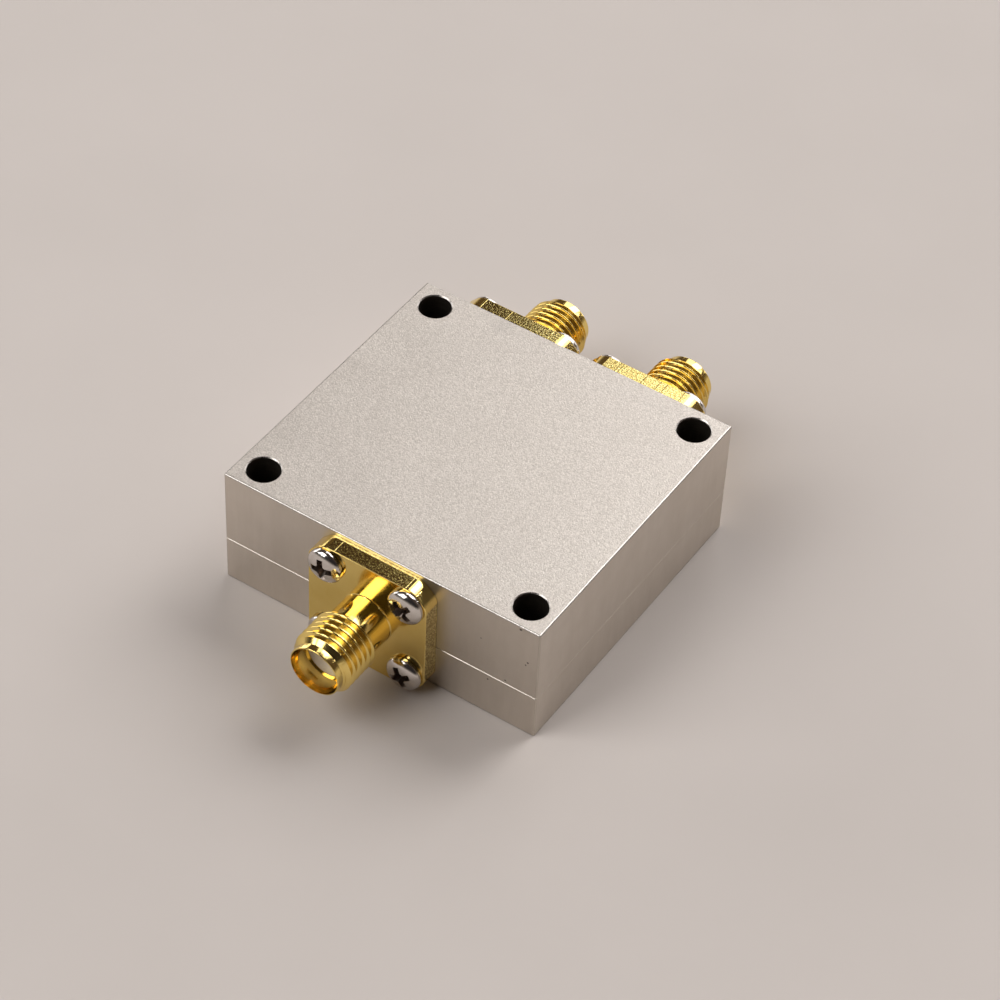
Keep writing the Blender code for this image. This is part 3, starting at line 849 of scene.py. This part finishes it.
def thread_groove():
    """A vee section wound along the barrel with the thread's pitch."""
    turns = math.ceil((THREAD_LENGTH + THREAD_LEAD + THREAD_PITCH) / THREAD_PITCH)
    start = station(FLANGE_THICKNESS + NECK_LENGTH + (turns - 1) * THREAD_PITCH)
    mouth = THREAD_PITCH - 2 * (CREST_SLOPE + CREST_BREAK)
    flank = (mouth - THREAD_ROOT) / 2 / math.tan(THREAD_FLANK_ANGLE)
    middle = THREAD_RADIUS - CREST_RISE - CREST_BREAK - flank / 2
    bpy.ops.object.select_all(action="DESELECT")
    bpy.ops.mesh.primitive_plane_add(size=1.0, location=(0.0, start, AXIS_HEIGHT))
    groove = bpy.context.object
    bpy.ops.object.mode_set(mode="EDIT")
    bpy.ops.transform.resize(value=(flank, THREAD_ROOT, 1.0))
    bpy.ops.transform.translate(value=(middle, 0.0, 0.0))
    pick(groove, "EDGE", lambda edge: all(vert.co.x > middle for vert in edge.verts))
    bpy.ops.transform.resize(value=(1.0, mouth / THREAD_ROOT, 1.0))
    broken = mouth + 2 * CREST_BREAK
    widest = THREAD_PITCH - CREST_FLAT
    for rise, wide, wider in ((CREST_BREAK, mouth, broken), (CREST_RISE, broken, widest),
                              (CREST_RISE, widest, widest)):
        bpy.ops.mesh.extrude_region_move(TRANSFORM_OT_translate={"value": (rise, 0.0, 0.0)})
        bpy.ops.transform.resize(value=(1.0, wider / wide, 1.0))
    pick(groove, "EDGE", lambda edge: len(edge.link_faces) == 2)
    bpy.ops.mesh.dissolve_edges(use_verts=False)
    bpy.ops.mesh.select_all(action="SELECT")
    bpy.ops.transform.rotate(value=math.pi / BARREL_SIDES, orient_axis="Y",
                             center_override=(0.0, start, AXIS_HEIGHT))
    leave()
    only(groove)
    winding = groove.modifiers.new("winding", "SCREW")
    winding.axis = "Y"
    winding.angle = math.tau
    winding.screw_offset = THREAD_PITCH
    winding.iterations = turns
    winding.steps = winding.render_steps = BARREL_SIDES
    bpy.ops.object.modifier_apply(modifier=winding.name)
    edit(groove)
    merge_close()
    bpy.ops.mesh.select_all(action="DESELECT")
    bpy.ops.mesh.select_mode(type="EDGE")
    bpy.ops.mesh.select_non_manifold()
    bpy.ops.mesh.fill_holes(sides=12)
    leave()
    settle(groove)
    face_outwards(groove)
    return groove


def flange_plate():
    """Square plate with cut corners and a fine break round its front."""
    front = station(FLANGE_THICKNESS)
    plate = block("flange", (SHELL_LOW.x, front, SHELL_LOW.z),
                  (SHELL_HIGH.x, FLANGE_BACK, SHELL_HIGH.z))

    def along_y(edge):
        return abs(edge.verts[0].co.y - edge.verts[1].co.y) > WELD

    bevel(plate, FLANGE_CORNER, 1, along_y)
    bevel(plate, FLANGE_CORNER_BLEND, FLANGE_BLEND_SEGMENTS, along_y)
    bevel(plate, FLANGE_BREAK, 2,
          lambda edge: all(abs(vert.co.y - front) < WELD for vert in edge.verts))
    return plate


def socket_model(gold, edge_gold):
    """Flange and threaded barrel in one piece, modelled once at the input."""
    shell = flange_plate()
    barrel = barrel_blank()
    cut(barrel, thread_groove())
    combine(shell, barrel, "UNION")
    face = SLEEVE_LOW.y
    front, back = station(FLANGE_THICKNESS), FLANGE_BACK + OVERRUN
    mouth = SOCKET_RADIUS + SOCKET_MOUTH
    bore = [(mouth, RIM - OVERRUN), (mouth, RIM), (SOCKET_RADIUS, RIM + SOCKET_MOUTH_DEPTH),
            (SOCKET_RADIUS, face), (WALL_BORE_RADIUS, face), (WALL_BORE_RADIUS, back)]
    cut(shell, turned("bore", bore, (0.0, 0.0, AXIS_HEIGHT)))
    hole = [(FLANGE_HOLE_RADIUS, front - OVERRUN), (FLANGE_HOLE_RADIUS, back)]
    for number in range(1, 5):
        cut(shell, turned("hole", hole, axis_of(f"input_screw_{number}"), sides=SCREW_SIDES))
    face_outwards(shell)

    def on_edge(face):
        middle = face.calc_center_median()
        straight = max(abs(face.normal.x), abs(face.normal.z)) > STRAIGHT_NORMAL
        outside = max(abs(middle.x), abs(middle.z - AXIS_HEIGHT)) > SHELL_HIGH.x - 2 * WELD
        return straight and outside and middle.y > front

    dress(shell, gold)
    paint_faces(shell, edge_gold, on_edge)
    smooth(shell, CRISP_ANGLE)
    return shell


def sleeve_model(shaded_sleeve_finish):
    """A ring section with broken corners, spun about the socket's axis."""
    low, high = SLEEVE_LOW, SLEEVE_HIGH
    outer = (high.x - low.x) / 2
    inner = (CONTACT_HIGH.x - CONTACT_LOW.x) / 2 + FIT_GAP
    bpy.ops.object.select_all(action="DESELECT")
    bpy.ops.mesh.primitive_plane_add(size=1.0, location=(0.0, 0.0, AXIS_HEIGHT))
    sleeve = bpy.context.object
    bpy.ops.object.mode_set(mode="EDIT")
    bpy.ops.transform.resize(value=(outer - inner, high.y - low.y, 1.0))
    bpy.ops.transform.translate(value=((outer + inner) / 2, (high.y + low.y) / 2, 0.0))
    bpy.ops.mesh.bevel(offset=SLEEVE_BREAK, segments=2, affect="VERTICES")
    bpy.ops.mesh.select_all(action="SELECT")
    bpy.ops.mesh.delete(type="ONLY_FACE")
    bpy.ops.mesh.select_all(action="SELECT")
    bpy.ops.mesh.spin(steps=BARREL_SIDES, angle=math.tau, center=(0.0, 0.0, AXIS_HEIGHT),
                      axis=(0.0, 1.0, 0.0))
    merge_close()
    leave()
    settle(sleeve)
    face_outwards(sleeve)
    # The sleeve's finish carries painted shade and painted gold-tinted light.
    dress(sleeve, shaded_sleeve_finish)
    smooth(sleeve)
    return sleeve


def contact_model(gold):
    """Slotted centre contact with closed-in fingers and a thinner tail."""
    front, tail_end = CONTACT_LOW.y, CONTACT_HIGH.y
    radius = (CONTACT_HIGH.x - CONTACT_LOW.x) / 2
    bore = radius - CONTACT_WALL
    collar = tail_end - TAIL_LENGTH
    finger_root, bore_end = front + FINGER_LENGTH, front + CONTACT_BORE_DEPTH
    profile = [(TAIL_RADIUS - CONTACT_TIP, tail_end), (TAIL_RADIUS, tail_end - CONTACT_TIP),
               (TAIL_RADIUS, collar), (radius, collar), (radius, finger_root),
               (radius - FINGER_SQUEEZE, front + CONTACT_TIP), (radius - CONTACT_TIP, front),
               (bore + FINGER_SQUEEZE, front), (bore - FINGER_SQUEEZE, front + CONTACT_TIP),
               (bore, finger_root), (bore, bore_end), (0.0, bore_end + bore / 2)]
    pin = turned("contact", profile, (0.0, 0.0, AXIS_HEIGHT), sides=CONTACT_SIDES)
    reach = radius + OVERRUN
    for half_x, half_z in ((reach, SLOT_HALF_WIDTH), (SLOT_HALF_WIDTH, reach)):
        cut(pin, block("slot", (-half_x, front - OVERRUN, AXIS_HEIGHT - half_z),
                       (half_x, front + SLOT_DEPTH, AXIS_HEIGHT + half_z)))
    dress(pin, gold)
    smooth(pin)
    return pin


def screw_model(nickel, recess_shade):
    """Pan head screw along Y, with its seat at zero and a tapered cross recess."""
    dome_top, tip = SCREW_LOW.y - SCREW_SEAT, SCREW_HIGH.y - SCREW_SEAT
    dome = -dome_top - HEAD_RIM
    profile = [(SHANK_RADIUS - SHANK_TIP, tip), (SHANK_RADIUS, tip - SHANK_TIP),
               (SHANK_RADIUS, 0.0), (HEAD_RADIUS - HEAD_BREAK, 0.0),
               (HEAD_RADIUS, -HEAD_BREAK), (HEAD_RADIUS, -HEAD_RIM)]
    for ring in range(1, DOME_RINGS):
        angle = math.pi / 2 * ring / DOME_RINGS
        profile.append((HEAD_RADIUS * math.cos(angle), -HEAD_RIM - dome * math.sin(angle)))
    profile.append((0.0, dome_top))
    screw = turned("screw", profile, (0.0, 0.0, 0.0), sides=SCREW_SIDES)
    half, wing = RECESS_WIDTH / 2, RECESS_SPAN / 2
    for turn in (0.0, math.pi / 2):
        arm = block("arm", (-wing, dome_top - RECESS_LEAD, -half),
                    (wing, dome_top + RECESS_DEPTH, half))
        edit(arm)
        pick(arm, "FACE", lambda face: face.normal.y > FLOOR_NORMAL)
        bpy.ops.transform.resize(value=(RECESS_SPAN_SHARE, 1.0, RECESS_WIDTH_SHARE))
        leave()
        arm.rotation_euler = (0.0, turn, 0.0)
        settle(arm)
        cut(screw, arm)
    heart = [(HEART_RADIUS, dome_top - RECESS_LEAD), (HEART_RADIUS, dome_top),
             (HEART_FLOOR_RADIUS, dome_top + HEART_DEPTH)]
    cut(screw, turned("heart", heart, (0.0, 0.0, 0.0), sides=HEART_SIDES))

    def in_recess(face):
        middle = face.calc_center_median()
        across = math.hypot(middle.x, middle.z) / HEAD_RADIUS
        along = max(0.0, -middle.y - HEAD_RIM) / dome
        return middle.y < -HEAD_RIM / 4 and across * across + along * along < RECESS_INSIDE

    dress(screw, nickel)
    # Painted shade: the recess's faces take a dark finish.
    paint_faces(screw, recess_shade, in_recess)
    smooth(screw)
    return screw


def copy_of(model, where):
    """A copy with its own mesh, moved by a matrix and settled."""
    piece = model.copy()
    piece.data = model.data.copy()
    bpy.context.collection.objects.link(piece)
    piece.matrix_world = where
    settle(piece)
    return piece


def sockets(gold, edge_gold, shaded_sleeve_finish, nickel, recess_shade):
    """All three sockets, each from the same four models."""
    models = (("shell", "flanged_barrel", socket_model(gold, edge_gold), "gold_plating"),
              ("insulator", "sleeve", sleeve_model(shaded_sleeve_finish), "white_insulator"),
              ("contact", "slotted_contact", contact_model(gold), "gold_plating"))
    screw = screw_model(nickel, recess_shade)
    for port in PORTS:
        facing = port_facing(port)
        half_turn = Matrix.Rotation(math.pi if facing > 0 else 0.0, 4, "Z")
        across = Matrix.Translation((axis_of(f"{port}_shell").x, 0.0, 0.0))
        for kind, name, model, slot in models:
            piece = copy_of(model, across @ half_turn)
            hand_over(piece, f"{port}_{name}", slot, f"{port}_{kind}")
        for number, turn in enumerate(SCREW_TURNS[port], 1):
            centre = axis_of(f"{port}_screw_{number}")
            there = Matrix.Translation((centre.x, -facing * SCREW_SEAT, centre.z))
            own_turn = Matrix.Rotation(math.radians(turn), 4, "Y")
            piece = copy_of(screw, there @ half_turn @ own_turn)
            hand_over(piece, f"{port}_pan_screw_{number}", "nickel_plating",
                      f"{port}_screw_{number}")
    for model in [screw] + [model for _, _, model, _ in models]:
        bpy.data.objects.remove(model)


def inner_pieces(grain):
    """The board, its line and the resistors keep their solids and get real finishes."""
    dress(nodes["circuit_board"], laminate(grain))
    dress(nodes["microstrip_trace"], plated_line(grain))
    resistor = chip(grain)
    for number in range(1, 4):
        dress(nodes[f"isolation_resistor_{number}"], resistor)


# Studio

def towards(azimuth, elevation):
    """A direction from its angle round Z, taken from +Y to +X, and its height, in degrees."""
    a, e = math.radians(azimuth), math.radians(elevation)
    return Vector((math.sin(a) * math.cos(e), math.cos(a) * math.cos(e), math.sin(e)))


def lamp(name, azimuth, elevation, wide, high, radiance):
    """A soft rectangular lamp whose brightness is given as seen from the part."""
    direction = towards(azimuth, elevation)
    data = bpy.data.lights.new(name, "AREA")
    data.shape = "RECTANGLE"
    data.size = 2 * LAMP_DISTANCE * math.tan(math.radians(wide) / 2)
    data.size_y = 2 * LAMP_DISTANCE * math.tan(math.radians(high) / 2)
    data.energy = radiance * math.pi * data.size * data.size_y
    obj = bpy.data.objects.new(name, data)
    bpy.context.collection.objects.link(obj)
    obj.location = direction * LAMP_DISTANCE
    obj.rotation_euler = direction.to_track_quat("Z", "Y").to_euler()
    obj.visible_camera = False


def surroundings():
    """A dim room: pale at the height of the floor's far edge and dark above, more so in front."""
    world = bpy.data.worlds.new("room")
    bpy.context.scene.world = world
    world.use_nodes = True
    tree = world.node_tree
    where = tree.nodes.new("ShaderNodeTexCoord").outputs["Generated"]
    parts = place(tree, "ShaderNodeSeparateXYZ", {0: where}).outputs
    overhead = blend(tree, spread(tree, parts["Y"], *ROOM_DEPTH), ROOM_FRONT, ROOM_BACK)
    colour = blend(tree, spread(tree, parts["Z"], *ROOM_RISE), ROOM_HORIZON, overhead)
    background = tree.nodes["Background"]
    tree.links.new(colour, background.inputs["Color"])
    background.inputs["Strength"].default_value = 1.0


def camera():
    """The photograph's camera, from its angles, distance and roll."""
    a, e, r = CAMERA_AZIMUTH, CAMERA_ELEVATION, CAMERA_ROLL
    right = Vector((math.cos(a), math.sin(a), 0.0))
    back = Vector((math.sin(a) * math.cos(e), -math.cos(a) * math.cos(e), math.sin(e)))
    up = back.cross(right)
    rolled_right = math.cos(r) * right + math.sin(r) * up
    rolled_up = -math.sin(r) * right + math.cos(r) * up
    data = bpy.data.cameras.new("camera")
    data.lens = CAMERA_LENS
    data.sensor_width = CAMERA_SENSOR
    data.clip_start, data.clip_end = CAMERA_CLIP
    obj = bpy.data.objects.new("camera", data)
    bpy.context.collection.objects.link(obj)
    turn = Matrix((rolled_right, rolled_up, back)).transposed()
    obj.matrix_world = Matrix.Translation(CAMERA_TARGET + CAMERA_DISTANCE * back) @ turn.to_4x4()
    bpy.context.scene.camera = obj


def floor():
    """A large sheet under the part."""
    bpy.ops.object.select_all(action="DESELECT")
    bpy.ops.mesh.primitive_plane_add(size=FLOOR_SIZE, location=(0.0, 0.0, 0.0))
    sheet = bpy.context.object
    sheet.name = "floor"
    dress(sheet, floor_paper())


def studio():
    """The floor, the room, the camera and the lamps."""
    floor()
    surroundings()
    camera()
    for name, settings in LAMPS.items():
        lamp(name, *settings)
    bpy.context.scene.view_settings.view_transform = "Standard"


def build():
    """Everything that is seen, from the shared effects to the lamps."""
    grain, lines, nick = grain_effect(), line_effect(), nick_effect()
    finishes = (blasted_aluminium(grain, nick), milled_aluminium(grain, lines, nick),
                hole_wall_painted_shade(), eased_edge(grain), eased_corner_painted_shade(grain))
    housing_half("blasted_lid", "housing_lid", LID_LOW.z, LID_SEAM_ROUND, LID_SCREWS, finishes,
                 [cavity()])
    housing_half("blasted_base", "base_plate", BASE_HIGH.z, BASE_SEAM_ROUND, BASE_SCREWS,
                 finishes)
    sockets(turned_gold(lines, grain), milled_gold(lines, grain), sleeve_painted_shade(lines, grain),
            polished_nickel(grain), recess_nickel_painted_shade(grain))
    inner_pieces(grain)
    studio()


build()
